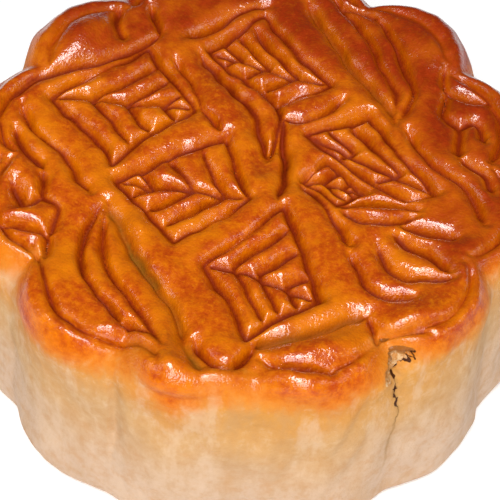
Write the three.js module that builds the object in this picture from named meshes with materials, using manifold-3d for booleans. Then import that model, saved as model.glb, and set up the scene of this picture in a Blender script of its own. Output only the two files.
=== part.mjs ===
// A round moulded mooncake: twelve lobes round the wall, a rolled shoulder, and a pressed top whose
// ornament is cut as grooves into a flat plateau. Millimetres, +Z up, the flat base on z = 0.
import * as THREE from "three";
import { mergeVertices } from "three/addons/utils/BufferGeometryUtils.js";
import Module from "manifold-3d";

const wasm = await Module();
wasm.setup();

// ---- driving dimensions -------------------------------------------------------------------------
const MODULE = 36; // the length that the ornament is drawn in
const TOP_Z = 34.4; // the pressed plateau
const LOBES = 12;
const FIRST_VALLEY = THREE.MathUtils.degToRad(3.34); // direction of one valley between two lobes
const LOBE_RADIUS = 1.111 * MODULE; // over the lobes
const VALLEY_RADIUS = 1.062 * MODULE; // at the foot of the valleys
const VALLEY_SOFTNESS = 0.15; // how round the foot of a valley is
const SHOULDER = 4.2; // radius of the rolled edge between wall and top
const SHOULDER_VALLEY = 1.1; // how much further in a valley reaches at the shoulder
const BASE_EDGE = 2.5; // radius of the edge at the base
const BORDER_VALLEY = 0.915 * MODULE; // the border groove, at the cusp between two lobes
const BORDER_DEPTH = 1.0;
const BORDER_HALF_WIDTH = 0.55;
const RIM_LEDGE = 1.4; // from the border groove out to the crest of the rim
const CREST_INSET = 2.3; // the crest is at least this far in from the wall
const GROOVE_DEPTH = 1.3;
const GROOVE_WIDTH = 1.3; // across the top of an ordinary groove
const STEPS_PER_LOBE = 8;
const PLATEAU_RING = 0.5; // share of the border's radius at which the plateau has one more ring of corners
const ANGLE_SLACK = 1e-6; // keeps a direction right on a valley in the lobe that starts there
const WELD_DISTANCE = 1e-4; // corners nearer than this are one corner

// How deep each valley is, from the first one counterclockwise. Two on the front are nearly smoothed away.
const VALLEY_SHARES = [1, 1, 1, 1, 1, 1, 1, 1.15, 0.6, 0.3, 0.9, 1];

// The border groove in each lobe, from the first valley counterclockwise: the radius of its crown in
// modules, and its share of the border's depth.
const BORDERS = [
  { crown: 1, depth: 1 },
  { crown: 1, depth: 1 },
  { crown: 1, depth: 1 },
  { crown: 1, depth: 1 },
  { crown: 1, depth: 1 },
  { crown: 1, depth: 1 },
  { crown: 1, depth: 1 },
  { crown: 1.03, depth: 1.1 },
  { crown: 0.99, depth: 0.25 },
  { crown: 1, depth: 0.7 },
  { crown: 1.03, depth: 0.75 },
  { crown: 1.02, depth: 0.9 },
];

const crust = new THREE.MeshStandardMaterial({ color: 0xb9560f, roughness: 0.38, metalness: 0 });

// ---- plan curves --------------------------------------------------------------------------------
// 0 in a valley and 1 at the middle of a lobe.
function lobeShare(angle) {
  const s = Math.abs(Math.sin((LOBES / 2) * (angle - FIRST_VALLEY)));
  const soft = VALLEY_SOFTNESS;
  return (Math.hypot(s, soft) - soft) / (Math.hypot(1, soft) - soft);
}

// 1 at the foot of a full valley, less in a smoothed one, 0 at the middle of a lobe.
function valleyShare(angle) {
  const nearest = Math.round(((angle - FIRST_VALLEY) * LOBES) / (2 * Math.PI));
  const index = THREE.MathUtils.euclideanModulo(nearest, LOBES);
  return VALLEY_SHARES[index] * (1 - lobeShare(angle));
}

function wallRadius(angle) {
  return LOBE_RADIUS - (LOBE_RADIUS - VALLEY_RADIUS) * valleyShare(angle);
}

function borderOf(angle) {
  const lobe = Math.floor(((angle - FIRST_VALLEY) * LOBES) / (2 * Math.PI) + ANGLE_SLACK);
  return BORDERS[THREE.MathUtils.euclideanModulo(lobe, LOBES)];
}

// Petal arcs: each lobe's stretch of the border is part of a circle through two cusps and the crown.
function borderRadius(angle) {
  const crown = borderOf(angle).crown * MODULE;
  const half = Math.PI / LOBES;
  const turn = THREE.MathUtils.euclideanModulo(angle - FIRST_VALLEY, 2 * half) - half;
  const chordX = BORDER_VALLEY * Math.cos(half);
  const chordY = BORDER_VALLEY * Math.sin(half);
  const rise = crown - chordX;
  const radius = (chordY * chordY + rise * rise) / (2 * rise);
  const centre = crown - radius;
  const across = centre * Math.sin(turn);
  return centre * Math.cos(turn) + Math.sqrt(radius * radius - across * across);
}

// ---- the body -----------------------------------------------------------------------------------
// Each ring is [radius, height] as functions of the direction, from the base round to the top.
function bodyRings() {
  const rings = [];
  const wall = (inset, z, extra = 0) =>
    rings.push((a) => [wallRadius(a) - inset - extra * valleyShare(a), z]);
  const baseSteps = 3;
  for (let i = 0; i <= baseSteps; i++) {
    const t = (i / baseSteps) * (Math.PI / 2);
    wall(BASE_EDGE * (1 - Math.sin(t)), BASE_EDGE * (1 - Math.cos(t)));
  }
  const foot = TOP_Z - SHOULDER;
  const wallSteps = 3;
  for (let i = 1; i < wallSteps; i++) wall(0, BASE_EDGE + (i / wallSteps) * (foot - BASE_EDGE));
  const shoulderSteps = 4;
  for (let i = 0; i < shoulderSteps; i++) {
    const t = (i / shoulderSteps) * (Math.PI / 2);
    const deeper = SHOULDER_VALLEY * Math.sin(t);
    wall(SHOULDER * (1 - Math.cos(t)), foot + SHOULDER * Math.sin(t), deeper);
  }
  rings.push((a) => [Math.min(borderRadius(a) + RIM_LEDGE, wallRadius(a) - CREST_INSET), TOP_Z]);
  rings.push((a) => [borderRadius(a), TOP_Z - BORDER_DEPTH * borderOf(a).depth]);
  rings.push((a) => [borderRadius(a) - 2 * BORDER_HALF_WIDTH, TOP_Z]);
  rings.push((a) => [PLATEAU_RING * borderRadius(a), TOP_Z]);
  return rings;
}

function bodyGeometry() {
  const rings = bodyRings();
  const around = LOBES * STEPS_PER_LOBE;
  const position = [];
  const index = [];
  for (const ring of rings)
    for (let j = 0; j < around; j++) {
      const angle = FIRST_VALLEY + (j / around) * 2 * Math.PI;
      const [r, z] = ring(angle);
      position.push(r * Math.cos(angle), r * Math.sin(angle), z);
    }
  const bottom = position.length / 3;
  position.push(0, 0, 0, 0, 0, TOP_Z);
  const last = (rings.length - 1) * around;
  for (let j = 0; j < around; j++) {
    const next = (j + 1) % around;
    index.push(bottom, next, j);
    index.push(bottom + 1, last + j, last + next);
    for (let i = 0; i + 1 < rings.length; i++) {
      const low = i * around;
      const high = low + around;
      index.push(low + j, low + next, high + next);
      index.push(low + j, high + next, high + j);
    }
  }
  const geometry = new THREE.BufferGeometry();
  geometry.setAttribute("position", new THREE.Float32BufferAttribute(position, 3));
  geometry.setIndex(index);
  return geometry;
}

// ---- grooves ------------------------------------------------------------------------------------
const OVERSHOOT = 0.5; // how far a cutter stands out of the surface that it cuts
const FADING = 0.35; // share of a groove's size that is left at the ends of a curved line
const BLUNT = 0.9; // the same for the straight lines of a field
const SHARPEST_MITRE = 0.6; // cosine that limits how far a corner's mitre reaches

// A wedge swept along points, its keel `depth` below them along `inward`.
function wedge(points, width, depth, inward, taper = FADING) {
  const position = [];
  const index = [];
  const flare = (depth + OVERSHOOT) / depth;
  points.forEach((point, i) => {
    const before = points[Math.max(i - 1, 0)];
    const after = points[Math.min(i + 1, points.length - 1)];
    const inNow = inward(point);
    const arriving = point.clone().sub(before).normalize();
    const leaving = after.clone().sub(point).normalize();
    const along = arriving.clone().add(leaving).normalize();
    const side = new THREE.Vector3().crossVectors(along, inNow).normalize();
    const straight = i === 0 || i === points.length - 1 ? 1 : along.dot(leaving);
    const size = i === 0 || i === points.length - 1 ? taper : 1;
    const half = (0.5 * width * flare * size) / Math.max(straight, SHARPEST_MITRE);
    const top = point.clone().addScaledVector(inNow, -OVERSHOOT);
    const keel = point.clone().addScaledVector(inNow, depth * size);
    position.push(...top.clone().addScaledVector(side, half).toArray());
    position.push(...top.clone().addScaledVector(side, -half).toArray());
    position.push(...keel.toArray());
  });
  for (let i = 0; i + 1 < points.length; i++)
    for (let k = 0; k < 3; k++) {
      const a = 3 * i + k;
      const b = 3 * i + ((k + 1) % 3);
      index.push(a, b, b + 3, a, b + 3, a + 3);
    }
  const end = 3 * (points.length - 1);
  index.push(0, 2, 1, end, end + 1, end + 2);
  const geometry = new THREE.BufferGeometry();
  geometry.setAttribute("position", new THREE.Float32BufferAttribute(position, 3));
  geometry.setIndex(index);
  return geometry;
}

const down = () => new THREE.Vector3(0, 0, -1);
const towardsAxis = (p) => new THREE.Vector3(-p.x, -p.y, 0).normalize();

// [x, y] pairs in modules to points on the plateau.
const onTop = (pairs) => pairs.map(([x, y]) => new THREE.Vector3(x * MODULE, y * MODULE, TOP_Z));
const halfTurn = (pairs) => pairs.map(([x, y]) => [-x, -y]);

function smoothLine(pairs, steps = 2 * pairs.length) {
  return new THREE.CatmullRomCurve3(onTop(pairs)).getPoints(steps);
}

// ---- the ornament -------------------------------------------------------------------------------
// Lines that come in pairs, one the half turn of the other about the middle of the cake.
const PAIRED_LINES = [
  // outer edge of the long side band, from its tip to its foot, then the valley beside the crescents
  {
    width: 1.2,
    line: [[-0.9, 0.25], [-0.86, 0.15], [-0.79, 0.05], [-0.71, -0.03], [-0.65, -0.13], [-0.6, -0.2]],
  },
  {
    width: 1.7,
    line: [[-0.54, -0.24], [-0.48, -0.37], [-0.38, -0.53], [-0.31, -0.63], [-0.25, -0.74], [-0.2, -0.86]],
  },
  // the two nested crescent leaves outside the band
  {
    width: 1,
    line: [[-0.56, -0.26], [-0.6, -0.36], [-0.605, -0.46], [-0.58, -0.58], [-0.53, -0.69], [-0.45, -0.79]],
  },
  {
    width: 1,
    line: [[-0.54, -0.29], [-0.545, -0.41], [-0.51, -0.53], [-0.42, -0.71], [-0.36, -0.79], [-0.29, -0.9]],
  },
  { width: 1, line: [[-0.46, -0.785], [-0.4, -0.81], [-0.33, -0.84]] },
  // flower in the corner between the band and the border
  { width: 1.6, line: [[-0.92, 0.1], [-0.89, 0], [-0.8, -0.08]] },
  { width: 1.6, line: [[-0.9, -0.18], [-0.85, -0.25], [-0.79, -0.22]] },
  { width: 1.4, line: [[-0.8, -0.08], [-0.79, -0.22], [-0.72, -0.29], [-0.745, -0.42]] },
  { width: 1.3, line: [[-0.93, -0.36], [-0.83, -0.38], [-0.745, -0.42], [-0.75, -0.54]] },
];

const SINGLE_LINES = [
  // leaf pair in the middle and the stem beside it
  { width: 1.3, line: [[-0.23, 0.55], [-0.13, 0.43], [-0.05, 0.3], [0.01, 0.17], [0.065, 0.04]] },
  { width: 1.1, line: [[-0.06, 0.41], [0.02, 0.37], [0.08, 0.27], [0.09, 0.15], [0.07, 0.04]] },
  { width: 1.4, line: [[0.1, 0.23], [0.12, 0.12], [0.13, 0], [0.115, -0.17]] },
  { width: 1.1, line: [[0.1, 0.22], [0.2, 0.23], [0.29, 0.28], [0.34, 0.34]] },
  { width: 1, line: [[-0.32, 0.5], [-0.24, 0.38], [-0.2, 0.25], [-0.13, 0.15]] },
  // long groove from the right field to the plain corner
  { width: 1.3, line: [[0.18, -0.08], [0.27, -0.18], [0.33, -0.27], [0.39, -0.37]] },
  // petals between the panel and the rim
  { width: 1.1, line: [[0.34, -0.2], [0.42, -0.185], [0.52, -0.175], [0.63, -0.2]] },
  { width: 1.1, line: [[0.36, -0.22], [0.43, -0.27], [0.53, -0.275], [0.63, -0.23]] },
  { width: 1.3, line: [[0.57, -0.29], [0.64, -0.29], [0.72, -0.3], [0.81, -0.31]] },
  { width: 1.4, line: [[0.54, -0.34], [0.6, -0.36], [0.69, -0.4], [0.76, -0.47]] },
  { width: 1.3, line: [[0.49, -0.38], [0.53, -0.46], [0.59, -0.51], [0.68, -0.52], [0.77, -0.5]] },
  { width: 1.1, line: [[0.39, -0.42], [0.43, -0.51], [0.48, -0.57], [0.54, -0.6], [0.63, -0.61]] },
  // edges of the panel towards the rim, far and near
  { width: 1.2, line: [[-0.56, 0.77], [-0.57, 0.68], [-0.54, 0.59]] },
  { width: 1.2, line: [[-0.44, 0.77], [-0.42, 0.7], [-0.4, 0.63]] },
  {
    width: 1.4,
    line: [[-0.97, 0.26], [-0.86, 0.37], [-0.72, 0.44], [-0.59, 0.49], [-0.47, 0.56], [-0.38, 0.64]],
  },
  { width: 1.4, line: [[-0.3, 0.62], [-0.2, 0.68], [-0.09, 0.76], [0.04, 0.82]] },
  {
    width: 1.6,
    line: [[0.03, -0.86], [0.12, -0.83], [0.21, -0.81], [0.29, -0.77], [0.38, -0.71], [0.46, -0.69]],
  },
  // rounded end of the side band
  {
    width: 1.2,
    line: [[-0.17, -0.85], [-0.13, -0.92], [-0.07, -0.965], [-0.01, -0.955], [0.02, -0.9], [0.04, -0.86]],
  },
  // creases of the front rim
  { width: 0.9, line: [[0.13, -0.96], [0.24, -0.945], [0.35, -0.955]] },
  { width: 1.2, line: [[0.46, -0.7], [0.49, -0.76], [0.5, -0.81]] },
  { width: 1, line: [[0.5, -0.77], [0.6, -0.775], [0.69, -0.775]] },
];

// Leaf panels: a four-sided groove filled with veins. The veins meet in angles on a midrib, which runs
// from the first corner to the third; corners are in modules.
const FIELDS = [
  { corners: [[-0.79, 0.29], [-0.44, 0.56], [-0.23, 0.24], [-0.54, -0.04]], bars: 4 },
  { corners: [[0, -0.16], [-0.27, -0.4], [-0.52, -0.11], [-0.1, 0.12]], bars: 4 },
  { corners: [[-0.15, -0.51], [0.13, -0.21], [0.28, -0.63], [0, -0.83]], bars: 4 },
  { corners: [[0.3, 0.42], [0.07, 0.31], [-0.2, 0.58], [0.02, 0.76]], bars: 4 },
  { corners: [[0.2, -0.06], [0.31, 0.03], [0.44, -0.1], [0.34, -0.19]], bars: 3 },
  { corners: [[0.7, -0.1], [0.59, -0.15], [0.22, 0.16], [0.44, 0.26]], bars: 3 },
];

function fieldLines({ corners, bars }) {
  const [first, second, third, fourth] = corners.map(([x, y]) => new THREE.Vector2(x, y));
  const place = ([u, v]) => {
    const near = first.clone().lerp(second, u);
    const far = fourth.clone().lerp(third, u);
    return near.lerp(far, v).toArray();
  };
  const lines = [
    [[0.5, 0], [1, 0], [1, 1], [0, 1], [0, 0], [0.5, 0]],
    [[0, 0], [1, 1]],
  ];
  for (let i = 1; i < bars; i++) {
    const t = i / bars;
    lines.push([[t, 1], [t, t], [1, t]]);
  }
  return lines.map((line) => line.map(place));
}

// ---- the split in one valley --------------------------------------------------------------------
const SPLIT_VALLEY = FIRST_VALLEY + THREE.MathUtils.degToRad(300);
const SPLIT_DEPTH = 1.5;
const SPLIT_WIDTH = 0.9;
// sideways offset and height of each turn of the crack, from the torn mouth down to the base
const SPLIT_TURNS = [
  [2.2, 32.6], [1.1, 30.4], [-0.5, 28.7], [-0.3, 26], [1, 21.4], [-0.2, 19.6], [0.1, 16.5], [0.2, 9],
  [-0.8, 5.3], [-1.4, 3],
];
const MOUTH = { side: 0.7, z: 31.8, halfWidth: 2.4, halfHeight: 1.9, depth: 1.3 };

// A point on the crust in the split valley, `side` to the right of its foot when seen from outside.
function onSplit(side, z) {
  const out = new THREE.Vector3(Math.cos(SPLIT_VALLEY), Math.sin(SPLIT_VALLEY), 0);
  const right = new THREE.Vector3(-out.y, out.x, 0);
  const t = Math.asin(Math.max(0, (z - (TOP_Z - SHOULDER)) / SHOULDER));
  const inset = SHOULDER * (1 - Math.cos(t)) + SHOULDER_VALLEY * Math.sin(t);
  return out.multiplyScalar(wallRadius(SPLIT_VALLEY) - inset).addScaledVector(right, side).setZ(z);
}

// The torn mouth: a flattened many-sided hollow.
function mouthGeometry() {
  const geometry = new THREE.IcosahedronGeometry(1, 1);
  geometry.scale(MOUTH.depth, MOUTH.halfWidth, MOUTH.halfHeight);
  geometry.rotateZ(SPLIT_VALLEY);
  const at = onSplit(MOUTH.side, MOUTH.z);
  geometry.translate(at.x, at.y, at.z);
  return geometry;
}

// ---- raised lumps on the rim --------------------------------------------------------------------
const LUMP_RISE = 0.5;
const LUMP_HALF_HEIGHT = 1.5;
const LUMP_SEGMENTS = 16;
// middle [x, y] in modules, half length and half width in mm, direction in degrees
const LUMPS = [
  { at: [0.33, -0.84], length: 7, width: 2.6, turn: 15 },
  { at: [0.64, -0.71], length: 5.5, width: 3.4, turn: 35 },
  { at: [-0.3, -0.97], length: 5, width: 2, turn: -50 },
];

function lumpGeometry({ at, length, width, turn }) {
  const geometry = new THREE.SphereGeometry(1, LUMP_SEGMENTS, LUMP_SEGMENTS / 2);
  geometry.rotateX(Math.PI / 2);
  geometry.scale(length, width, LUMP_HALF_HEIGHT);
  geometry.rotateZ(THREE.MathUtils.degToRad(turn));
  geometry.translate(at[0] * MODULE, at[1] * MODULE, TOP_Z + LUMP_RISE - LUMP_HALF_HEIGHT);
  return geometry;
}

// ---- assembly -----------------------------------------------------------------------------------
function solid(geometry) {
  geometry.deleteAttribute("normal");
  geometry.deleteAttribute("uv");
  const merged = mergeVertices(geometry, WELD_DISTANCE);
  return new wasm.Manifold(
    new wasm.Mesh({
      numProp: 3,
      vertProperties: merged.attributes.position.array,
      triVerts: new Uint32Array(merged.index.array),
    }),
  );
}

function meshGeometry(made) {
  const mesh = made.getMesh();
  const geometry = new THREE.BufferGeometry();
  geometry.setAttribute("position", new THREE.BufferAttribute(mesh.vertProperties, 3));
  geometry.setIndex(new THREE.BufferAttribute(mesh.triVerts, 1));
  geometry.computeVertexNormals();
  return geometry;
}

function cutters() {
  const cuts = [];
  for (const { width, line } of PAIRED_LINES)
    for (const pairs of [line, halfTurn(line)])
      cuts.push(wedge(smoothLine(pairs), width, GROOVE_DEPTH, down));
  for (const { width, line } of SINGLE_LINES)
    cuts.push(wedge(smoothLine(line), width, GROOVE_DEPTH, down));
  for (const line of FIELDS.flatMap(fieldLines))
    cuts.push(wedge(onTop(line), GROOVE_WIDTH, GROOVE_DEPTH, down, BLUNT));
  const crack = SPLIT_TURNS.map(([side, z]) => onSplit(side, z));
  cuts.push(wedge(crack, SPLIT_WIDTH, SPLIT_DEPTH, towardsAxis));
  cuts.push(mouthGeometry());
  return cuts;
}

let cake = solid(bodyGeometry());
for (const lump of LUMPS) cake = cake.add(solid(lumpGeometry(lump)));
for (const cut of cutters()) cake = cake.subtract(solid(cut));

const group = new THREE.Group();
const mooncake = new THREE.Mesh(meshGeometry(cake), crust);
mooncake.name = "mooncake";
group.add(mooncake);

export default group;
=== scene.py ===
"""A baked mooncake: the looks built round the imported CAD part.

The visible cake is one fine mesh, shaped in code: a twelve-lobed wall, a rolled shoulder, a pressed top
with soft-edged grooves, and a torn split in one valley. It replaces the faceted CAD body. Shapes are
worked out in millimetres and turned into metres when the mesh is made. Directions run counterclockwise
from +X, and the front of the cake is at -90 degrees.
"""

import math

import bpy
import numpy as np
from mathutils import Matrix, Vector


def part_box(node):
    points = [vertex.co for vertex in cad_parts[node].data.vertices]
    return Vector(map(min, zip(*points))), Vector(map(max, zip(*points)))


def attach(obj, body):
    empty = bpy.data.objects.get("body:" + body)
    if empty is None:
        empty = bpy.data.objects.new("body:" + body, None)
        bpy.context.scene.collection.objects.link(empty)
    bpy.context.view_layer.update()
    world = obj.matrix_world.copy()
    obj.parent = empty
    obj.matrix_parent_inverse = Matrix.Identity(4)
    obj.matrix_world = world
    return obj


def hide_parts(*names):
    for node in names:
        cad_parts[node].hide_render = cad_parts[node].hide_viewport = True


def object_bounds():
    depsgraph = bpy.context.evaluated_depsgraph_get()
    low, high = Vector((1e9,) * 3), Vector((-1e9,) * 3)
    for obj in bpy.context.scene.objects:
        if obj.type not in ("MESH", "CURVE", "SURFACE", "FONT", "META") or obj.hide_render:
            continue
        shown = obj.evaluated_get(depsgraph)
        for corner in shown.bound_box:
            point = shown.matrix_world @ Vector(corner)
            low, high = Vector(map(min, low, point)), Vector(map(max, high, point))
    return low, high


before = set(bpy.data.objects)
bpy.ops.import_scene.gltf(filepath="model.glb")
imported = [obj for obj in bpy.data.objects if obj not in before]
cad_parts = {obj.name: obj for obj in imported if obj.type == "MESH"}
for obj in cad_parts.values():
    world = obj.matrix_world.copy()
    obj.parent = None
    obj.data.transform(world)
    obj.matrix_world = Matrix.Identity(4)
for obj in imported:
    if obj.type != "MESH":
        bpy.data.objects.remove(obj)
cad_low, cad_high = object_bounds()

# ---- driving dimensions, mm --------------------------------------------------------------------
MM = 0.001
NODE = "mooncake"
PIECE = "mooncake_crust"
node_low, node_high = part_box(NODE)
HALF_WIDTH = (node_high.x - node_low.x) / 2 / MM
HEIGHT = (node_high.z - node_low.z) / MM
WIDEST = 1.0962  # modules from the middle of the cake to the side of its box
MODULE = HALF_WIDTH / WIDEST  # the length that the ornament is drawn in
CAD_LUMPS = 0.5  # how far the lumps on the rim of the CAD body stand above the plateau
TOP = HEIGHT - CAD_LUMPS  # the pressed plateau

LOBES = 12
FIRST_VALLEY = math.radians(3.34)  # direction of one valley between two lobes
LOBE_RADIUS = 1.111 * MODULE
VALLEY_RADIUS = 1.062 * MODULE
VALLEY_SOFTNESS = 0.15  # how round the foot of a valley is
SHOULDER_REACH, SHOULDER_DROP = 3.3, 5.0  # in from the wall and down from the plateau, on a lobe
VALLEY_REACH, VALLEY_DROP = 1.0, 1.8  # how much more of both a valley has
BASE_EDGE = 2.5  # radius of the edge at the base
# How deep each valley is, from the first one counterclockwise. Two on the front are shallow.
VALLEY_SHARES = np.array([1, 1, 1, 1, 1, 1, 1, 1.15, 0.6, 0.3, 0.9, 1])
# How deep each valley cuts into the shoulder, mm.
NOTCHES = np.array([1.0, 1.0, 1.0, 1.0, 1.0, 1.0, 1.0, 1.2, 2.0, 0.5, 1.2, 1.0])

GROOVE_DEPTH = 1.75
GROOVE_REACH = 4.0  # farther from a groove than this, nothing of it is felt
WIDE_GROOVE = 1.6  # grooves at least this wide have an olive brown floor
FIELD_WIDTH = 1.3  # of the grooves round and in the leaf panels
BORDER_VALLEY = 0.915 * MODULE  # the border groove, at the cusp between two lobes
BORDER_WIDTH, BORDER_DEPTH = 1.1, 0.85  # mm, and share of a groove's depth
# The border groove's crown radius in modules and its depth share in each lobe. Drawn lines stand in for two.
BORDERS = [
    (1.0, 1), (1.0, 0.4), (1.0, 0.8), (1.0, 1), (1.0, 0.6), (1.0, 1),
    (1.0, 1), (1.03, 0), (0.99, 0), (1.0, 0.7), (1.03, 0.75), (1.02, 0.9),
]
RELIEF_FULL, RELIEF_GONE = 1.2, 3.2  # how far under the plateau the relief starts to fade and ends
WANDER, FINE_WANDER = 0.3, 0.1  # how far the grooves stray from their drawn lines
BEAD_RISE, BEAD_OUT, BEAD_HALF_WIDTH = 0.35, 1.3, 0.9  # a soft bead just outside the border
# Unevenness of the whole surface: rise and wave length. The wall is more uneven than the top.
BULGE, BULGE_LENGTH = 0.28, 26
DIMPLE, WALL_DIMPLE, DIMPLE_LENGTH = 0.09, 0.06, 9
PIMPLE, PIMPLE_LENGTH = 0.035, 3.2

TOP_CELLS = 238  # cells of the mesh across the top
SHOULDER_ROWS, WALL_ROWS, EDGE_ROWS = 15, 24, 3
WALL_CROWDING = 1.6  # above 1, the wall's rows lie closer together towards the shoulder
BASE_ROWS = (0.7, 0.2)  # shares of the base's radius


# ---- small numeric helpers ----------------------------------------------------------------------
def smooth_step(low, high, value):
    t = np.clip((value - low) / (high - low), 0, 1)
    return t * t * (3 - 2 * t)


def waves(points, length, seed):
    """Smooth noise of unit spread: sine waves about `length` mm long in random directions."""
    rng = np.random.default_rng(seed)
    count = 20
    direction = rng.normal(size=(count, 3))
    direction /= np.linalg.norm(direction, axis=1)[:, None]
    direction *= (2 * math.pi / length) * rng.uniform(0.7, 1.4, (count, 1))
    phase = rng.uniform(0, 2 * math.pi, count)
    total = np.zeros(len(points))
    for k, start in zip(direction, phase):
        total += np.sin(points @ k + start)
    return total * math.sqrt(2 / count)


def smooth_line(points):
    """A Catmull-Rom curve through the points, sampled finely enough to measure distances to."""
    step = 0.08
    points = np.array(points, float)
    padded = np.vstack([2 * points[0] - points[1], points, 2 * points[-1] - points[-2]])
    t = np.arange(0, 1, step)[:, None]
    out = []
    for a, b, c, d in zip(padded, padded[1:], padded[2:], padded[3:]):
        bend = (2 * a - 5 * b + 4 * c - d) * t**2
        twist = (3 * b - a - 3 * c + d) * t**3
        out.append(0.5 * (2 * b + (c - a) * t + bend + twist))
    return np.vstack([*out, points[-1]])


def distance_to_line(at, line):
    """Distance from each point to an open line, and how far along the line the nearest spot is, 0 to 1."""
    best = np.full(len(at), np.inf)
    along = np.zeros(len(at))
    lengths = np.linalg.norm(np.diff(line, axis=0), axis=1)
    total = lengths.sum()
    done = 0.0
    for a, b, length in zip(line, line[1:], lengths):
        t = np.clip((at - a) @ (b - a) / length**2, 0, 1)
        d = np.linalg.norm(at - a - t[:, None] * (b - a), axis=1)
        nearer = d < best
        best[nearer] = d[nearer]
        along[nearer] = (done + t[nearer] * length) / total
        done += length
    return best, along


# ---- the plan of the cake -----------------------------------------------------------------------
def lobe_share(angle):
    """0 in a valley between lobes, 1 at the middle of a lobe."""
    s = np.abs(np.sin(LOBES / 2 * (angle - FIRST_VALLEY)))
    soft = VALLEY_SOFTNESS
    return (np.hypot(s, soft) - soft) / (math.hypot(1, soft) - soft)


def nearest_valley(angle):
    return np.round((angle - FIRST_VALLEY) / (2 * math.pi / LOBES)).astype(int) % LOBES


def valley_share(angle):
    """1 at the bottom of a full valley, less in the shallow ones, 0 at the middle of a lobe."""
    return (1 - lobe_share(angle)) * VALLEY_SHARES[nearest_valley(angle)]


def wall_radius(angle):
    return LOBE_RADIUS - (LOBE_RADIUS - VALLEY_RADIUS) * valley_share(angle)


def border_radius(angle):
    """Petal arcs: in each lobe the border is part of a circle through two cusps and the crown."""
    half = math.pi / LOBES
    lobe = np.floor((angle - FIRST_VALLEY) / (2 * half)).astype(int) % LOBES
    crown = np.array([radius for radius, _ in BORDERS])[lobe] * MODULE
    turn = np.mod(angle - FIRST_VALLEY, 2 * half) - half
    chord_x = BORDER_VALLEY * math.cos(half)
    chord_y = BORDER_VALLEY * math.sin(half)
    rise = crown - chord_x
    radius = (chord_y**2 + rise**2) / (2 * rise)
    centre = crown - radius
    return centre * np.cos(turn) + np.sqrt(radius**2 - (centre * np.sin(turn)) ** 2)


def shoulder_reach(angle):
    """How far in from the wall the shoulder starts, and how far down it ends."""
    valley = valley_share(angle)
    return SHOULDER_REACH + VALLEY_REACH * valley, SHOULDER_DROP + VALLEY_DROP * valley


# ---- the ornament -------------------------------------------------------------------------------
# [width mm, depth share, points in modules]. Paired lines are repeated half a turn round the middle.
PAIRED_LINES = [
    # long side band: its outer edge from tip to foot, then the valley beside the crescents
    [1.2, 0.9, [(-0.9, 0.25), (-0.86, 0.15), (-0.79, 0.05), (-0.71, -0.03), (-0.65, -0.13), (-0.6, -0.2)]],
    [
        1.7, 1.1,
        [(-0.54, -0.24), (-0.48, -0.37), (-0.38, -0.53), (-0.31, -0.63), (-0.25, -0.74), (-0.2, -0.86)],
    ],
    # two nested crescent leaves outside the band
    [
        1.0, 1.0,
        [(-0.56, -0.26), (-0.6, -0.36), (-0.605, -0.46), (-0.58, -0.58), (-0.53, -0.69), (-0.45, -0.79)],
    ],
    [
        1.0, 0.9,
        [(-0.54, -0.29), (-0.545, -0.41), (-0.51, -0.53), (-0.42, -0.71), (-0.36, -0.79), (-0.29, -0.9)],
    ],
    [1.0, 0.9, [(-0.46, -0.785), (-0.4, -0.81), (-0.33, -0.84)]],
    # flower in the corner between the band and the border
    [1.5, 1.1, [(-0.92, 0.1), (-0.89, 0.0), (-0.8, -0.08)]],
    [1.5, 1.1, [(-0.9, -0.18), (-0.85, -0.25), (-0.79, -0.22)]],
    [1.4, 1.0, [(-0.8, -0.08), (-0.79, -0.22), (-0.72, -0.29), (-0.745, -0.42)]],
    [1.3, 0.9, [(-0.93, -0.36), (-0.83, -0.38), (-0.745, -0.42), (-0.75, -0.54)]],
]
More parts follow.
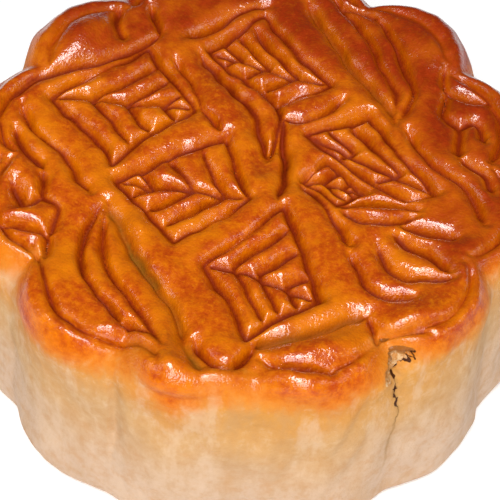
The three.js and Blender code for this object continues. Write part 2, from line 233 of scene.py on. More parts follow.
SINGLE_LINES = [
    # leaf pair in the middle and the stem beside it
    [1.3, 1.1, [(-0.23, 0.55), (-0.13, 0.43), (-0.05, 0.3), (0.01, 0.17), (0.065, 0.04)]],
    [1.1, 1.0, [(-0.06, 0.41), (0.02, 0.37), (0.08, 0.27), (0.09, 0.15), (0.07, 0.04)]],
    [1.4, 1.2, [(0.1, 0.23), (0.12, 0.12), (0.13, 0.0), (0.115, -0.17)]],
    [1.1, 0.9, [(0.1, 0.22), (0.2, 0.23), (0.29, 0.28), (0.34, 0.34)]],
    [1.0, 0.8, [(-0.32, 0.5), (-0.24, 0.38), (-0.2, 0.25), (-0.13, 0.15)]],
    # long groove from the right field to the plain corner
    [1.3, 1.1, [(0.18, -0.08), (0.27, -0.18), (0.33, -0.27), (0.39, -0.37)]],
    # petals between the panel and the rim
    [1.1, 1.0, [(0.34, -0.2), (0.42, -0.185), (0.52, -0.175), (0.63, -0.2)]],
    [1.1, 1.0, [(0.36, -0.22), (0.43, -0.27), (0.53, -0.275), (0.63, -0.23)]],
    [1.3, 1.0, [(0.57, -0.29), (0.64, -0.29), (0.72, -0.3), (0.81, -0.31)]],
    [1.4, 1.2, [(0.54, -0.34), (0.6, -0.36), (0.69, -0.4), (0.76, -0.47)]],
    [1.3, 1.1, [(0.49, -0.38), (0.53, -0.46), (0.59, -0.51), (0.68, -0.52), (0.77, -0.5)]],
    [1.1, 1.0, [(0.39, -0.42), (0.43, -0.51), (0.48, -0.57), (0.54, -0.6), (0.63, -0.61)]],
    # edges of the panel towards the rim, far and near
    [1.2, 1.0, [(-0.56, 0.77), (-0.57, 0.68), (-0.54, 0.59)]],
    [1.2, 1.0, [(-0.44, 0.77), (-0.42, 0.7), (-0.4, 0.63)]],
    [1.4, 1.0, [(-0.97, 0.26), (-0.86, 0.37), (-0.72, 0.44), (-0.59, 0.49), (-0.47, 0.56), (-0.38, 0.64)]],
    [1.4, 1.0, [(-0.3, 0.62), (-0.2, 0.68), (-0.09, 0.76), (0.04, 0.82)]],
    [1.6, 1.3, [(0.03, -0.86), (0.12, -0.83), (0.21, -0.81), (0.29, -0.77), (0.38, -0.71), (0.46, -0.69)]],
    # border of the front left lobes, which runs on over the tip of the band's leaf
    [
        1.1, 1.0,
        [(-0.8, -0.46), (-0.75, -0.59), (-0.73, -0.67), (-0.7, -0.75), (-0.63, -0.83), (-0.53, -0.875)],
    ],
    [1.1, 0.9, [(-0.55, -0.87), (-0.45, -0.88), (-0.39, -0.88), (-0.33, -0.92), (-0.29, -0.98)]],
    [1.6, 0.6, [(-0.2, -0.86), (-0.18, -0.93), (-0.15, -1.0)]],
    # rounded end of the side band
    [
        1.2, 1.0,
        [(-0.17, -0.85), (-0.13, -0.92), (-0.07, -0.965), (-0.01, -0.955), (0.02, -0.9), (0.04, -0.86)],
    ],
    # creases of the front rim
    [0.9, 1.0, [(0.13, -0.96), (0.24, -0.945), (0.35, -0.955)]],
    [1.2, 1.0, [(0.46, -0.7), (0.49, -0.76), (0.5, -0.81)]],
    [1.0, 0.8, [(0.5, -0.77), (0.6, -0.775), (0.69, -0.775)]],
]

# Leaf panels: a four-sided groove filled with veins that meet on a midrib. The four corners in modules, of
# which the midrib joins the first and the third, and the number of bars between the veins.
FIELDS = [
    [(-0.79, 0.29), (-0.44, 0.56), (-0.23, 0.24), (-0.54, -0.04), 4],
    [(0.0, -0.16), (-0.27, -0.4), (-0.52, -0.11), (-0.1, 0.12), 4],
    [(-0.15, -0.51), (0.13, -0.21), (0.28, -0.63), (0.0, -0.83), 4],
    [(0.3, 0.42), (0.07, 0.31), (-0.2, 0.58), (0.02, 0.76), 4],
    [(0.2, -0.06), (0.31, 0.03), (0.44, -0.1), (0.34, -0.19), 3],
    [(0.7, -0.1), (0.59, -0.15), (0.22, 0.16), (0.44, 0.26), 3],
]


def field_lines(first, second, third, fourth, bars):
    """The groove round a leaf panel, its midrib and its veins, in modules."""
    corners = [np.array(corner) for corner in (first, second, third, fourth)]
    vein_end = 0.99  # just short of the groove round the panel

    def place(u, v):
        near = corners[0] + (corners[1] - corners[0]) * u
        return near + (corners[3] + (corners[2] - corners[3]) * u - near) * v

    lines = [[place(0.5, 0), place(1, 0), place(1, 1), place(0, 1), place(0, 0), place(0.5, 0)]]
    lines.append([place(0, 0), place(1, 1)])
    for i in range(1, bars):
        t = i / bars
        lines.append([place(t, vein_end), place(t, t), place(vein_end, t)])
    return [np.array(line) for line in lines]


# Soft rises and dips: middle in modules, half length and half width in mm, direction in degrees, rise in mm.
HUMPS = [
    # front rim: leaf, lip under it, petal by the split, and the tip of the left leaf
    [(0.3, -0.875), 7.0, 2.6, 18, 1.0],
    [(0.23, -1.02), 6.0, 2.4, 4, 1.2],
    [(0.64, -0.71), 5.5, 3.4, 35, 1.1],
    [(-0.27, -1.0), 7.5, 4.3, -58, 2.2],
    # far rim, right and left
    [(0.68, 0.63), 6.5, 3.4, 133, 0.9],
    [(-0.69, 0.59), 6.5, 3.8, 50, 1.7],
    # front rim under the rounded end of the side band, that end, and the right rim
    [(-0.08, -1.03), 4.6, 2.0, 8, 0.9],
    [(-0.06, -0.9), 3.5, 2.4, -55, 0.25],
    [(0.84, -0.42), 4.5, 2.8, 70, 0.8],
    # leaf pair in the middle
    [(-0.11, 0.27), 6.5, 3.4, -60, 0.5],
    # left corner flower
    [(-0.92, -0.1), 3.5, 2.2, 60, 0.8],
    [(-0.83, -0.15), 2.6, 2.2, 0, 0.5],
    [(-0.86, -0.33), 3.0, 2.0, 20, 0.6],
    # side band and right petal
    [(-0.41, -0.34), 3.0, 1.8, -80, 0.5],
    [(0.48, -0.23), 3.6, 1.3, -5, 0.5],
    # dips where grooves meet
    [(0.04, 0.0), 3.2, 2.4, -80, -0.9],
    [(0.49, -0.77), 1.8, 1.4, -50, -0.7],
    [(0.39, -0.37), 1.6, 1.2, -50, -0.6],
    [(-0.41, -0.8), 2.0, 1.0, -40, -0.5],
]


def all_grooves():
    """Every groove as (width, depth share, line in mm)."""
    grooves = []
    for width, depth, points in PAIRED_LINES:
        line = smooth_line(points) * MODULE
        grooves += [(width, depth, line), (width, depth, -line)]
    for width, depth, points in SINGLE_LINES:
        grooves.append((width, depth, smooth_line(points) * MODULE))
    for field in FIELDS:
        grooves += [(FIELD_WIDTH, 1.0, line * MODULE) for line in field_lines(*field)]
    lobe = 2 * math.pi / LOBES
    points_per_lobe = 23
    for i, (_, depth) in enumerate(BORDERS):
        angle = FIRST_VALLEY + lobe * i + np.linspace(0, lobe, points_per_lobe + 2)[1:-1]
        r = border_radius(angle)
        line = np.stack([r * np.cos(angle), r * np.sin(angle)], axis=1)
        grooves.append((BORDER_WIDTH, BORDER_DEPTH * depth, line))
    return grooves


def carve(plan):
    """What the grooves do at each point of the plan: the depth that they take away and the distance to the
    nearest of them, mm, then the low ground near any of them and the floor of the wide ones, 0 to 1.
    """
    flat = np.column_stack([plan, np.zeros(len(plan))])
    wander = np.column_stack([waves(flat, 15, 1), waves(flat, 15, 2)]) * WANDER
    wander += np.column_stack([waves(flat, 4.5, 3), waves(flat, 4.5, 4)]) * FINE_WANDER
    at = plan + wander
    strength = np.clip(1 + 0.22 * waves(flat, 9, 5), 0.5, 1.5)
    core_radius, core_share = 0.4, 0.22  # the sharp middle of a groove, mm, and its part of the depth
    crossing = 5  # the higher, the less two crossing grooves add up
    core_total = np.zeros(len(plan))
    soft_total = np.zeros(len(plan))
    nearest = np.full(len(plan), GROOVE_REACH)
    pool = np.zeros(len(plan))
    for width, depth, line in all_grooves():
        near = np.all((at > line.min(0) - GROOVE_REACH) & (at < line.max(0) + GROOVE_REACH), axis=1)
        d, along = distance_to_line(at[near], line)
        ends = smooth_step(0, 0.1, along) * smooth_step(1, 0.9, along)
        size = depth * (0.5 + 0.5 * ends)
        nearest[near] = np.minimum(nearest[near], d + 0.5 * (1 - size))
        core_total[near] += (size * np.exp(-((d / core_radius) ** 2))) ** crossing
        soft_total[near] += (size * np.exp(-((d / (0.66 * width)) ** 1.6))) ** crossing
        if width >= WIDE_GROOVE:
            pool[near] = np.maximum(pool[near], ends * np.exp(-((d / (0.45 * width)) ** 2)))
    core = core_total ** (1 / crossing)
    soft = soft_total ** (1 / crossing)
    taken = GROOVE_DEPTH * strength * (core_share * core + (1 - core_share) * soft)
    return taken, nearest, np.clip(soft, 0, 1), pool


def humps(plan):
    """How far the soft rises and dips lift each point of the plan, mm."""
    total = np.zeros(len(plan))
    fade_end = 1.25  # in half lengths and half widths
    for middle, length, width, turn, rise in HUMPS:
        c, s = math.cos(math.radians(turn)), math.sin(math.radians(turn))
        off = plan - np.array(middle) * MODULE
        u = (off[:, 0] * c + off[:, 1] * s) / length
        v = (-off[:, 0] * s + off[:, 1] * c) / width
        total += rise * smooth_step(fade_end, 0, np.hypot(u, v))
    return total


# Folds in the wall: depth and half width in mm, then direction in degrees and height in mm at both ends.
FOLDS = [
    [0.45, 0.9, (-63.5, 30), (-73.5, 14)],
    [0.35, 0.8, (-61.5, 24), (-70, 9)],
    [0.3, 0.8, (-77, 20), (-81.5, 12)],
    [0.8, 0.5, (-115.5, 33), (-115.5, 8)],
]


def folds(angle, height):
    """How far the wall is pushed in: each fold is steep on one side and slow on the other."""
    total = np.zeros(len(angle))
    slow_side = 3  # times the half width
    turn = np.mod(angle, 2 * math.pi) - 2 * math.pi
    at = np.column_stack([turn * LOBE_RADIUS, height])
    for depth, half_width, *ends in FOLDS:
        line = np.array([[math.radians(direction) * LOBE_RADIUS, z] for direction, z in ends])
        run = (line[1] - line[0]) / np.linalg.norm(line[1] - line[0])
        off = (at - line[0]) @ np.array([-run[1], run[0]])
        _, along = distance_to_line(at, line)
        fade = smooth_step(0, 0.25, along) * smooth_step(1, 0.6, along)
        across = np.where(off > 0, off / slow_side, off) / half_width
        total += depth * fade * np.exp(-(across**2))
    return total


# ---- the split in one valley --------------------------------------------------------------------
SPLIT_VALLEY = FIRST_VALLEY + math.radians(300)
SPLIT_OUT = (math.cos(SPLIT_VALLEY), math.sin(SPLIT_VALLEY), 0)
SPLIT_RIGHT = (-SPLIT_OUT[1], SPLIT_OUT[0], 0)
SPLIT_INNER = 0.8 * VALLEY_RADIUS  # nothing nearer to the middle of the cake is split
# The crack from its upper end down: mm to the right of the valley, and height in mm.
SPLIT_TURNS = [
    (2.7, 32.3), (2.6, 31.3), (1.5, 30.6), (-0.35, 29.8), (-0.35, 26.5), (-0.2, 24), (0.25, 22.8),
    (-0.4, 20.8), (-0.3, 18.5), (-0.7, 16.8), (-1.2, 11.5), (-1.6, 6), (-2.0, 3),
]
MOUTH_SIDE, MOUTH_Z = 0.15, 31.2
MOUTH_HALF_WIDTH, MOUTH_HALF_HEIGHT = 2.6, 1.3
MOUTH_TILT = 0.4  # how much the mouth rises to the right, mm for each mm
CRACK_DEPTH, MOUTH_DEPTH, MOUTH_LIP = 0.9, 1.0, 0.15


def split(points):
    """Depth of the split in mm: a crack that closes downwards and an open mouth at its upper end."""
    side = points @ np.array(SPLIT_RIGHT)
    half_width = 8
    facing = (points @ np.array(SPLIT_OUT) > SPLIT_INNER) & (np.abs(side) < half_width)
    here = points[facing]
    height = here[:, 2]
    ragged = 0.16 * np.column_stack([waves(here, 1.6, 11), waves(here, 1.6, 12)])
    ragged += np.column_stack([side[facing], height])
    crack, _ = distance_to_line(ragged, np.array(SPLIT_TURNS, float))
    across = ragged[:, 0] - MOUTH_SIDE
    rise = ragged[:, 1] - MOUTH_Z - MOUTH_TILT * across
    mouth = np.hypot(across / MOUTH_HALF_WIDTH, rise / MOUTH_HALF_HEIGHT) + 0.08 * waves(here, 2.2, 13)
    open_share = 0.25 + 0.75 * smooth_step(24, 28.5, height)
    crack += 0.35 * (1 - open_share)
    depth = np.zeros(len(points))
    depth[facing] = CRACK_DEPTH * open_share * smooth_step(0.5, 0.05, crack)
    depth[facing] += MOUTH_DEPTH * smooth_step(1.08, 0.85, mouth)
    depth[facing] -= MOUTH_LIP * smooth_step(0.3, 0, np.abs(mouth - 1.2))
    return depth


# ---- the egg wash -------------------------------------------------------------------------------
# Where the wash ends across the front: direction in degrees and height in mm.
WASH_EDGE = [
    (-152, 31.2), (-135, 29.7), (-128, 29.9), (-122, 31.0), (-117, 32.4), (-112, 33.4), (-108, 32.1),
    (-103, 29.9), (-99, 31.0), (-95, 32.6), (-85, 32.8), (-80, 31.9), (-73, 31.0), (-66, 32.3),
    (-60, 33.6), (-50, 33.0), (-40, 31.5), (-28, 31.2),
]
WASH_DROP, WASH_VALLEY_RISE = 3.2, 1.7  # elsewhere: how far under the plateau it ends, and less in a valley
FAR_WASH = 2.5  # how much lower the wash reaches on the far side, mm
PLATEAU_WASH = 5  # the plateau counts as this much higher above the edge of the wash, mm
# Golden patches on the wall: direction, strength, and the turns in degrees at which each ends and is full.
GOLD_PATCHES = [(SPLIT_VALLEY, 1.0, 17, 3), (math.radians(-85), 0.8, 18, 4)]


def wash_edge(angle):
    """Height in mm where the egg wash ends."""
    all_round = TOP - WASH_DROP + WASH_VALLEY_RISE * (1 - lobe_share(angle))
    turn = np.degrees(np.mod(angle + math.pi, 2 * math.pi)) - 180
    directions, heights = zip(*WASH_EDGE)
    front = smooth_step(directions[0], directions[1], turn)
    front *= smooth_step(directions[-1], directions[-2], turn)
    return all_round + front * (np.interp(turn, directions, heights) - all_round)


# ---- the mesh -----------------------------------------------------------------------------------
def disc_cells(n):
    """A square grid bent into a disc: radius share and angle of each vertex, faces, and the rim in order."""
    t = np.linspace(-1, 1, n + 1)
    a, b = np.meshgrid(t, t, indexing="ij")
    share = np.maximum(np.abs(a), np.abs(b))
    with np.errstate(divide="ignore", invalid="ignore"):
        flat_side = np.where(a >= 0, 0, math.pi) + math.pi / 4 * b / a
        tall_side = np.where(b >= 0, math.pi / 2, 1.5 * math.pi) - math.pi / 4 * a / b
    angle = np.where(np.abs(a) >= np.abs(b), flat_side, tall_side)
    angle[share < 1e-9] = 0
    index = np.arange((n + 1) ** 2).reshape(n + 1, n + 1)
    faces = np.stack([index[:-1, :-1], index[1:, :-1], index[1:, 1:], index[:-1, 1:]], axis=-1).reshape(-1, 4)
    rim = np.concatenate([index[n, :-1], index[:0:-1, n], index[0, :0:-1], index[:-1, 0]])
    return share.ravel(), angle.ravel(), faces, rim


def ring_rows():
    """The kind of each row of the mesh from the shoulder down and under, and its place: the tilt on the
    shoulder and the edge, the share of the way down the wall, and the share of the base's radius.
    """
    rows = [("shoulder", math.pi / 2 * i / SHOULDER_ROWS) for i in range(1, SHOULDER_ROWS + 1)]
    rows += [("wall", (i / WALL_ROWS) ** WALL_CROWDING) for i in range(1, WALL_ROWS + 1)]
    rows += [("edge", math.pi / 2 * i / EDGE_ROWS) for i in range(1, EDGE_ROWS + 1)]
    rows += [("base", share) for share in BASE_ROWS]
    return rows


def row_positions(kind, value, angle):
    """Radius, height and the normal's outward and upward parts for one row."""
    wall = wall_radius(angle)
    reach, drop = shoulder_reach(angle)
    ones = np.ones_like(angle)
    if kind == "shoulder":
        radius = wall - reach * (1 - math.sin(value))
        height = TOP - drop * (1 - math.cos(value))
        out, up = math.sin(value) / reach, math.cos(value) / drop
        size = np.hypot(out, up)
        return radius, height, out / size, up / size
    if kind == "wall":
        start = TOP - drop
        return wall, start + (BASE_EDGE - start) * value, ones, 0 * ones
    if kind == "edge":
        radius = wall - BASE_EDGE * (1 - math.cos(value))
        height = BASE_EDGE * (1 - math.sin(value)) * ones
        return radius, height, math.cos(value) * ones, -math.sin(value) * ones
    return (wall - BASE_EDGE) * value, 0 * ones, 0 * ones, -ones


def plain_form():
    """The cake without relief: the direction, radius, height and normal's outward and upward parts of its
    vertices, its four-sided faces, and the ring that the last face closes.
    """
    share, angle, faces, ring = disc_cells(TOP_CELLS)
    radius = share * (wall_radius(angle) - shoulder_reach(angle)[0])
    ones = np.ones_like(angle)
    parts = [(angle, radius, TOP * ones, 0 * ones, ones)]
    all_faces = [faces]
    count = len(angle)
    ring_angle = angle[ring]
    for kind, value in ring_rows():
        lower = np.arange(count, count + len(ring))
        parts.append((ring_angle, *row_positions(kind, value, ring_angle)))
        all_faces.append(np.stack([ring, lower, np.roll(lower, -1), np.roll(ring, -1)], axis=1))
        ring = lower
        count += len(ring)
    columns = [np.concatenate(column) for column in zip(*parts)]
    return columns, np.concatenate(all_faces), ring


def relief(angle, radius, height, out, up, points):
    """How far each vertex moves out along its normal, mm, and the masks of the grooves."""
    on_top = smooth_step(TOP - RELIEF_GONE, TOP - RELIEF_FULL, height)
    upper = height > TOP - RELIEF_GONE
    depth, low, pool = np.zeros((3, len(points)))
    groove = np.full(len(points), GROOVE_REACH)
    depth[upper], groove[upper], low[upper], pool[upper] = carve(points[upper, :2])
    lift = -depth * on_top
    lift[upper] += humps(points[upper, :2]) * on_top[upper]
    past_border = radius - border_radius(angle)
    lift += BEAD_RISE * np.exp(-(((past_border - BEAD_OUT) / BEAD_HALF_WIDTH) ** 2)) * on_top
    notch = NOTCHES[nearest_valley(angle)] * (1 - lobe_share(angle)) ** 2
    lift -= notch * smooth_step(-0.5, 1.5, past_border) * smooth_step(0, 1, up)
    wall_share = smooth_step(0.2, 0.8, out)
    lift += BULGE * waves(points, BULGE_LENGTH, 21) * (0.5 + 0.5 * wall_share)
    dimples = (DIMPLE + WALL_DIMPLE * wall_share) * waves(points, DIMPLE_LENGTH, 22)
    lift += dimples + PIMPLE * waves(points, PIMPLE_LENGTH, 23)
    lift -= folds(angle, height) * wall_share
    lift -= split(points)
    masks = dict(groove=groove, low=low * on_top, pool=pool * on_top)
    return lift * smooth_step(0, BASE_EDGE, height), masks


def turn_between(angle, direction):
    return np.abs(np.mod(angle - direction + math.pi, 2 * math.pi) - math.pi)


def crust_masks(angle, radius, height, up, points):
    """Height above the edge of the wash, mm, then what faces up, the golden patches, and how brown the top
    is: more towards the far right and most on its outer part there.
    """
    x, y, _ = points.T / MODULE
    far = smooth_step(-0.5, 1.1, 0.5 * x + 0.85 * y)
    edge_height = wash_edge(angle) + 0.4 * waves(points, 12, 31)
    inset = wall_radius(angle) - shoulder_reach(angle)[0] - radius
    above_edge = height - edge_height + FAR_WASH * far
    above_edge += PLATEAU_WASH * smooth_step(0.6, 4, inset) * (up > 0.5)
    above_edge += 1.2 * waves(points, 16, 33) * smooth_step(-1, -6, above_edge)
    gold = np.zeros(len(points))
    for direction, strength, end, full in GOLD_PATCHES:
        turn = turn_between(angle, direction)
        gold = np.maximum(gold, strength * smooth_step(math.radians(end), math.radians(full), turn))
    # The top is made browner towards the far right, most on its outer part there.
    outer_top = smooth_step(0.45 * MODULE, MODULE, radius) * smooth_step(TOP - 4.5, TOP - 1, height)
    side = smooth_step(-0.5, 0.5, y + 0.6 * x)
    return dict(
        above_edge=above_edge,
        facing_up=smooth_step(0.5, 0.9, up),
        gold=gold * smooth_step(17, 29, height),
        brown_share=0.15 + 0.6 * far + 0.85 * outer_top * side,
    )


def build_shape():
    """Vertices in mm, faces, the ring that the last face closes, and the masks that the material reads."""
    (angle, radius, height, out, up), quads, last_ring = plain_form()
    points = np.column_stack([radius * np.cos(angle), radius * np.sin(angle), height])
    normal = np.column_stack([out * np.cos(angle), out * np.sin(angle), up])
    lift, masks = relief(angle, radius, height, out, up, points)
    points = points + normal * lift[:, None]
    masks.update(crust_masks(angle, radius, height, up, points))
    return points, quads, last_ring, masks


def make_cake():
    points, quads, last_ring, masks = build_shape()
    mesh = bpy.data.meshes.new(PIECE)
    mesh.vertices.add(len(points))
    mesh.vertices.foreach_set("co", (points * MM).astype(np.float32).ravel())
    corners = np.concatenate([quads.ravel(), last_ring[::-1]])
    mesh.loops.add(len(corners))
    mesh.loops.foreach_set("vertex_index", corners.astype(np.int32))
    starts = np.arange(len(quads) + 1) * 4
    mesh.polygons.add(len(starts))
    mesh.polygons.foreach_set("loop_start", starts.astype(np.int32))
    mesh.polygons.foreach_set("use_smooth", np.ones(len(starts), bool))
    mesh.update(calc_edges=True)
    for name, values in masks.items():
        attribute = mesh.attributes.new(name, "FLOAT", "POINT")
        attribute.data.foreach_set("value", values.astype(np.float32))
    mesh.validate()
    cake = bpy.data.objects.new(PIECE, mesh)
    bpy.context.scene.collection.objects.link(cake)
    return cake


# ---- material -----------------------------------------------------------------------------------
class Nodes:
    """Short names for the few node patterns that the crust uses."""

    def __init__(self, material):
        self.tree = material.node_tree

    def add(self, kind, **settings):
        node = self.tree.nodes.new(kind)
        for name, value in settings.items():
            setattr(node, name, value)
        return node

    def put(self, socket, value):
        if isinstance(value, bpy.types.NodeSocket):
            self.tree.links.new(value, socket)
        else:
            socket.default_value = value

    def mask(self, name):
        return self.add("ShaderNodeAttribute", attribute_name=name).outputs["Fac"]

    def math(self, operation, a, b=0.0, clamp=False):
        node = self.add("ShaderNodeMath", operation=operation, use_clamp=clamp)
        self.put(node.inputs[0], a)
        self.put(node.inputs[1], b)
        return node.outputs[0]

    def span(self, value, low, high, to_low=0.0, to_high=1.0, kind="SMOOTHSTEP"):
        """The value's way from low to high, turned into the way from to_low to to_high."""
        node = self.add("ShaderNodeMapRange", interpolation_type=kind)
        self.put(node.inputs["Value"], value)
        node.inputs["From Min"].default_value = low
        node.inputs["From Max"].default_value = high
        node.inputs["To Min"].default_value = to_low
        node.inputs["To Max"].default_value = to_high
        return node.outputs["Result"]

    def along(self, direction):
        """The place on the cake measured in one direction from its middle, mm."""
        node = self.add("ShaderNodeVectorMath", operation="DOT_PRODUCT")
        self.put(node.inputs[0], self.add("ShaderNodeTexCoord").outputs["Object"])
        node.inputs[1].default_value = [part / MM for part in direction]
        return node.outputs["Value"]

    def noise(self, size_mm, detail, roughness=0.55, stretch=(1, 1, 1)):
        """Noise of the given grain size, 0 to 1; a stretch under 1 draws it out along that axis."""
        mapping = self.add("ShaderNodeMapping")
        self.put(mapping.inputs["Vector"], self.add("ShaderNodeTexCoord").outputs["Object"])
        mapping.inputs["Scale"].default_value = stretch
        node = self.add("ShaderNodeTexNoise")
        self.put(node.inputs["Vector"], mapping.outputs["Vector"])
        node.inputs["Scale"].default_value = 1 / (size_mm * MM)
        node.inputs["Detail"].default_value = detail
        node.inputs["Roughness"].default_value = roughness
        return node.outputs["Fac"]

    def mix(self, share, a, b):
        node = self.add("ShaderNodeMix", data_type="RGBA")
        self.put(node.inputs["Factor"], share)
        self.put(node.inputs["A"], a if isinstance(a, bpy.types.NodeSocket) else (*a, 1))
        self.put(node.inputs["B"], b if isinstance(b, bpy.types.NodeSocket) else (*b, 1))
        return node.outputs["Result"]

    def times(self, first, *others):
        for other in others:
            first = self.math("MULTIPLY", first, other)
        return first

    def bump(self, height, depth_mm, under=None):
        """The normal of a relief of the given depth, laid over another one."""
        node = self.add("ShaderNodeBump")
        node.inputs["Strength"].default_value = 1.0
        node.inputs["Distance"].default_value = depth_mm * MM
        self.put(node.inputs["Height"], height)
        if under is not None:
            self.put(node.inputs["Normal"], under)
        return node.outputs["Normal"]


# Colours of the crust, as linear red, green and blue.
GLAZE = (0.64, 0.112, 0.0)
DARK_RED_GLAZE = (0.28, 0.022, 0.0)
GOLDEN_LOW = (0.66, 0.17, 0.0)
RED_MOTTLE, GOLDEN_MOTTLE = (0.4, 0.035, 0.0), (0.7, 0.18, 0.0)
DARK_SPECKLE, PALE_SPECKLE = (0.36, 0.028, 0.0), (0.76, 0.2, 0.0)
GOLDEN_BLOTCH = (0.74, 0.2, 0.0)
# Groove colours: darker partly from wash pooled in the grooves and partly as painted shade of the hollows.
GROOVE_SIDE, GROOVE_LINE = (0.32, 0.028, 0.0), (0.17, 0.011, 0.0)
OLIVE = (0.22, 0.095, 0.006)
WALL_FOOT, WALL_MIDDLE, WALL_HEAD = (0.58, 0.4, 0.275), (0.57, 0.325, 0.135), (0.62, 0.265, 0.052)
LOWER_GOLD, UPPER_GOLD = (0.6, 0.27, 0.045), (0.68, 0.23, 0.012)
BROWN_MOTTLE, SANDY_MOTTLE = (0.5, 0.23, 0.07), (0.68, 0.45, 0.27)
PALE_STREAK, BROWN_STREAK = (0.68, 0.49, 0.34), (0.5, 0.28, 0.12)
WASH_END = (0.66, 0.175, 0.004)
# Inside the mouth: dark and pale crumbs, and a painted shadow under its upper lip.
DARK_CRUMB, PALE_CRUMB, MOUTH_TOP_SHADOW = (0.46, 0.19, 0.04), (0.62, 0.4, 0.2), (0.3, 0.09, 0.008)
# A painted brown shade along the lower, closed part of the crack.
CREASE_SHADE = (0.36, 0.19, 0.05)
# Near black: painted shade deep in the crack's narrow slit.
CRACK_SHADE = (0.06, 0.016, 0.003)


SPLIT_FULL = 0.85 * VALLEY_RADIUS  # the split's colours are full from here out, and gone at SPLIT_INNER


def split_masks(n, height):
    """The inside of the mouth, the painted shade deep in the crack's slit, and a painted brown shade along
    the crack's lower, closed part, each 0 to 1.
    """
    facing = n.span(n.along(SPLIT_OUT), SPLIT_INNER, SPLIT_FULL)
    wobble = n.math("SUBTRACT", n.noise(1.6, detail=2, roughness=0.5), 0.5)
    side = n.math("ADD", n.along(SPLIT_RIGHT), wobble)

    centre = SPLIT_TURNS[0][0]
    for (x, z), (next_x, next_z) in zip(SPLIT_TURNS, SPLIT_TURNS[1:]):
        centre = n.math("ADD", n.span(height, z, next_z, 0, next_x - x, kind="LINEAR"), centre)
    away = n.math("ABSOLUTE", n.math("SUBTRACT", side, centre))
    gap = n.times(n.span(height, 19, 29, 0.02, 0.26), n.span(height, 32.6, 30.8, 0.35, 1.2))
    gap = n.times(gap, n.span(n.noise(1.2, detail=2), 0.42, 0.6, 0.2, 1.3))
    # Painted shade deep in the crack's slit, which narrows downwards.
    crack_shade = n.times(n.span(n.math("SUBTRACT", away, gap), 0.08, -0.04), facing)
    crack_shade = n.times(crack_shade, n.span(height, 18, 24), n.span(height, 32.8, 32.3))
    # Painted brown shade along the lower, closed part of the crack.
    crease_shade = n.times(n.span(away, 0.5, 0.05), n.span(height, 6, 16, 0, 0.55), n.span(height, 30, 28), facing)

    across = n.math("SUBTRACT", side, MOUTH_SIDE)
    rise = n.math("SUBTRACT", n.math("SUBTRACT", height, MOUTH_Z), n.times(across, MOUTH_TILT))
    wide = n.math("POWER", n.math("DIVIDE", n.math("ABSOLUTE", across), MOUTH_HALF_WIDTH), 2.0)
    tall = n.math("POWER", n.math("DIVIDE", n.math("ABSOLUTE", rise), MOUTH_HALF_HEIGHT), 2.0)
    inside = n.times(n.span(n.math("ADD", wide, tall), 1.1, 0.95), facing)
    return inside, crack_shade, crease_shade


def glaze_color(n, blotch, mottle, speckle):
    """The washed top: orange brown, browner in blotches and towards the far right, darker in the grooves
    partly from pooled wash and partly as painted shade, olive in the widest.
    """
    brown_share, pool = n.mask("brown_share"), n.mask("pool")
    plain = n.span(brown_share, 0.3, 0.9, 1.0, 0.25)  # the pale spots fade where the crust is browned
    baked = n.times(brown_share, n.span(blotch, 0.35, 0.65, 0.5, 1.15))
    color = n.mix(baked, GLAZE, DARK_RED_GLAZE)
    golden = n.times(n.span(n.mask("low"), 0.05, 0.6, 0, 0.7), n.span(mottle, 0.3, 0.6, 0.4, 1))
    color = n.mix(golden, color, GOLDEN_LOW)
    color = n.mix(n.span(mottle, 0.42, 0.66, 0, 0.7), color, RED_MOTTLE)
    color = n.mix(n.times(n.span(mottle, 0.5, 0.32, 0, 0.5), plain), color, GOLDEN_MOTTLE)
    color = n.mix(n.times(n.span(speckle, 0.5, 0.7, 0, 0.6), plain), color, PALE_SPECKLE)
    color = n.mix(n.span(speckle, 0.5, 0.3, 0, 0.45), color, DARK_SPECKLE)
    color = n.mix(n.times(n.span(blotch, 0.55, 0.35, 0, 0.6), plain), color, GOLDEN_BLOTCH)
    from_line = n.math("ADD", n.mask("groove"), n.times(n.math("SUBTRACT", speckle, 0.5), 0.3))
    shade = n.math("SUBTRACT", 1.0, n.times(pool, 0.6))
    # Darker towards the middle of each groove: partly pooled wash, partly painted shade.
    color = n.mix(n.times(n.span(from_line, 0.8, 0.15, 0, 0.7), shade), color, GROOVE_SIDE)
    color = n.mix(n.times(n.span(from_line, 0.4, 0.05, 0, 0.85), shade), color, GROOVE_LINE)
    return n.mix(n.times(pool, n.span(blotch, 0.4, 0.6, 0.3, 1.0), plain), color, OLIVE)


def wall_color(n, mottle, above_edge, height):
    """The bare wall: sandy at the foot, browner towards the wash, with golden patches and pale streaks."""
    color = n.mix(n.span(above_edge, -26.0, -8.0), WALL_FOOT, WALL_MIDDLE)
    color = n.mix(n.span(above_edge, -9.0, -1.5), color, WALL_HEAD)
    gold = n.mix(n.span(height, 28.0, 33.0), LOWER_GOLD, UPPER_GOLD)
    color = n.mix(n.times(n.mask("gold"), 0.75), color, gold)
    color = n.mix(n.span(mottle, 0.42, 0.72, 0, 0.4), color, BROWN_MOTTLE)
    color = n.mix(n.span(mottle, 0.46, 0.28, 0, 0.35), color, SANDY_MOTTLE)
    streak = n.noise(4.5, detail=4, roughness=0.7, stretch=(1, 1, 0.4))
    color = n.mix(n.span(streak, 0.48, 0.66, 0, 0.4), color, PALE_STREAK)
    color = n.mix(n.span(streak, 0.5, 0.32, 0, 0.4), color, BROWN_STREAK)
    return n.mix(n.span(above_edge, -3.4, 1.4), color, WASH_END)


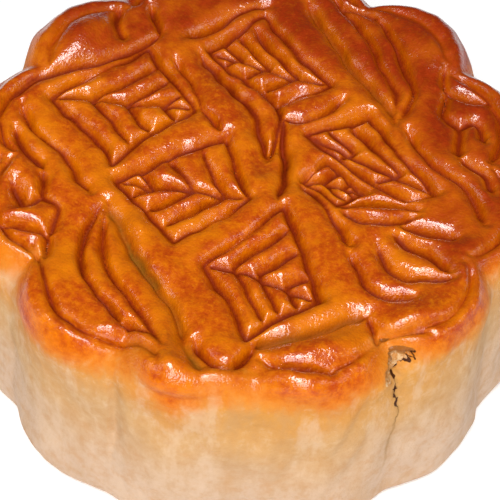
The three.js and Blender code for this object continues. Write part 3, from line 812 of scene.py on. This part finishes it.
def crust_material():
    material = bpy.data.materials.new("crust")
    material.use_nodes = True
    n = Nodes(material)
    shader = material.node_tree.nodes["Principled BSDF"]

    blotch = n.noise(8, detail=4)
    mottle = n.noise(1.8, detail=5, roughness=0.65)
    speckle = n.noise(0.7, detail=4, roughness=0.75)
    height = n.along((0, 0, 1))
    uneven = n.math("ADD", n.math("SUBTRACT", blotch, 0.5), n.math("SUBTRACT", mottle, 0.5))
    above_edge = n.math("ADD", n.mask("above_edge"), n.times(uneven, 4.0))

    top = glaze_color(n, blotch, mottle, speckle)
    wall = wall_color(n, mottle, above_edge, height)
    inside, crack, crease_shade = split_masks(n, height)
    mouth_color = n.mix(n.span(speckle, 0.42, 0.62), DARK_CRUMB, PALE_CRUMB)
    # Darker at the top of the mouth: a painted shadow under the upper lip.
    mouth_color = n.mix(n.span(height, MOUTH_Z, MOUTH_Z + 1.2), mouth_color, MOUTH_TOP_SHADOW)
    color = n.mix(n.span(above_edge, -1.2, 3.0), wall, top)
    color = n.mix(inside, color, mouth_color)
    # Painted shade: brown along the crack's closed part, near black in its open slit.
    color = n.mix(crease_shade, color, CREASE_SHADE)
    color = n.mix(crack, color, CRACK_SHADE)
    n.put(shader.inputs["Base Color"], color)

    groove = n.mask("groove")
    glazed = n.span(above_edge, -1.5, 2.5)
    rough = n.span(glazed, 0.0, 1.0, 0.6, 0.36)
    rough = n.math("ADD", rough, n.span(mottle, 0.3, 0.7, -0.05, 0.1))
    rough = n.math("ADD", rough, n.span(groove, 0.15, 0.7, 0.25, 0.0), clamp=True)
    n.put(shader.inputs["Roughness"], rough)
    shader.inputs["Specular IOR Level"].default_value = 0.12
    wet = n.times(glazed, n.mask("facing_up"), n.span(groove, 0.15, 0.8))
    wet = n.math("MAXIMUM", wet, n.times(inside, 0.15))
    n.put(shader.inputs["Coat Weight"], n.times(wet, n.span(crack, 0.5, 0.1)))
    shader.inputs["Coat Roughness"].default_value = 0.17
    shader.inputs["Coat IOR"].default_value = 1.65

    fine = n.bump(n.noise(0.36, detail=1, roughness=0.6), 0.08)
    normal = n.bump(n.noise(1.6, detail=1), 0.06, under=fine)
    n.put(shader.inputs["Normal"], normal)
    n.put(shader.inputs["Coat Normal"], normal)
    return material


def floor_material():
    material = bpy.data.materials.new("floor_white")
    material.use_nodes = True
    shader = material.node_tree.nodes["Principled BSDF"]
    shader.inputs["Base Color"].default_value = (0.93, 0.93, 0.93, 1)
    shader.inputs["Roughness"].default_value = 0.9
    shader.inputs["Specular IOR Level"].default_value = 0.1
    shader.inputs["Emission Color"].default_value = (1, 1, 1, 1)
    shader.inputs["Emission Strength"].default_value = 0.16
    return material


# ---- stage, camera and light --------------------------------------------------------------------
FLOOR_HALF = 3.0  # m


def make_floor():
    mesh = bpy.data.meshes.new("floor")
    corners = [(x * FLOOR_HALF, y * FLOOR_HALF, 0) for x, y in ((-1, -1), (1, -1), (1, 1), (-1, 1))]
    mesh.from_pydata(corners, [], [(0, 1, 2, 3)])
    floor = bpy.data.objects.new("floor", mesh)
    floor.location.z = cad_low.z
    bpy.context.scene.collection.objects.link(floor)
    mesh.materials.append(floor_material())


CAMERA_TARGET = (0.012, -0.410)  # modules
CAMERA_TARGET_DEPTH = 1.46  # mm under the plateau
CAMERA_DISTANCE = 10  # modules
CAMERA_ELEVATION = math.radians(52.04)
CAMERA_ROLL = math.radians(3.27)
CAMERA_LENS = 192.2
CAMERA_SENSOR = 36


def make_camera():
    back = Vector((0, -math.cos(CAMERA_ELEVATION), math.sin(CAMERA_ELEVATION)))
    right = Vector((1, 0, 0))
    up = back.cross(right)
    rolled_right = right * math.cos(CAMERA_ROLL) + up * math.sin(CAMERA_ROLL)
    rolled_up = up * math.cos(CAMERA_ROLL) - right * math.sin(CAMERA_ROLL)
    x, y = CAMERA_TARGET
    target = Vector((x * MODULE, y * MODULE, TOP - CAMERA_TARGET_DEPTH)) * MM
    data = bpy.data.cameras.new("camera")
    data.lens = CAMERA_LENS
    data.sensor_width = CAMERA_SENSOR
    data.clip_start = 0.01
    camera = bpy.data.objects.new("camera", data)
    bpy.context.scene.collection.objects.link(camera)
    turn = Matrix((rolled_right, rolled_up, back)).transposed()
    camera.matrix_world = Matrix.Translation(target + back * CAMERA_DISTANCE * MODULE * MM) @ turn.to_4x4()
    bpy.context.scene.camera = camera


def make_area_light(name, azimuth, elevation, distance, size, power):
    """A square softbox aimed at the cake; azimuth 0 is the camera's side, positive to the right."""
    a, e = math.radians(azimuth), math.radians(elevation)
    middle = Vector((0, 0, HEIGHT * MM / 2))
    away = Vector((math.sin(a) * math.cos(e), -math.cos(a) * math.cos(e), math.sin(e)))
    data = bpy.data.lights.new(name, "AREA")
    data.shape = "SQUARE"
    data.size = size
    data.energy = power
    light = bpy.data.objects.new(name, data)
    light.location = middle + away * distance
    light.rotation_euler = away.to_track_quat("Z", "Y").to_euler()
    bpy.context.scene.collection.objects.link(light)


def make_world():
    world = bpy.data.worlds.new("studio")
    world.use_nodes = True
    background = world.node_tree.nodes["Background"]
    background.inputs["Color"].default_value = (0.93, 0.96, 1.0, 1)
    background.inputs["Strength"].default_value = 0.04
    bpy.context.scene.world = world


bpy.context.scene.view_settings.view_transform = "Standard"
make_camera()
make_floor()
make_world()
make_area_light("key", azimuth=-8, elevation=66, distance=1.2, size=0.56, power=14.2)
make_area_light("front", azimuth=5, elevation=34, distance=1.1, size=0.46, power=4.6)
make_area_light("left", azimuth=-75, elevation=30, distance=0.9, size=0.3, power=0.55)
make_area_light("right", azimuth=75, elevation=30, distance=0.9, size=0.3, power=0.6)

cake = make_cake()
cake.data.materials.append(crust_material())
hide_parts(NODE)
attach(cake, "root")
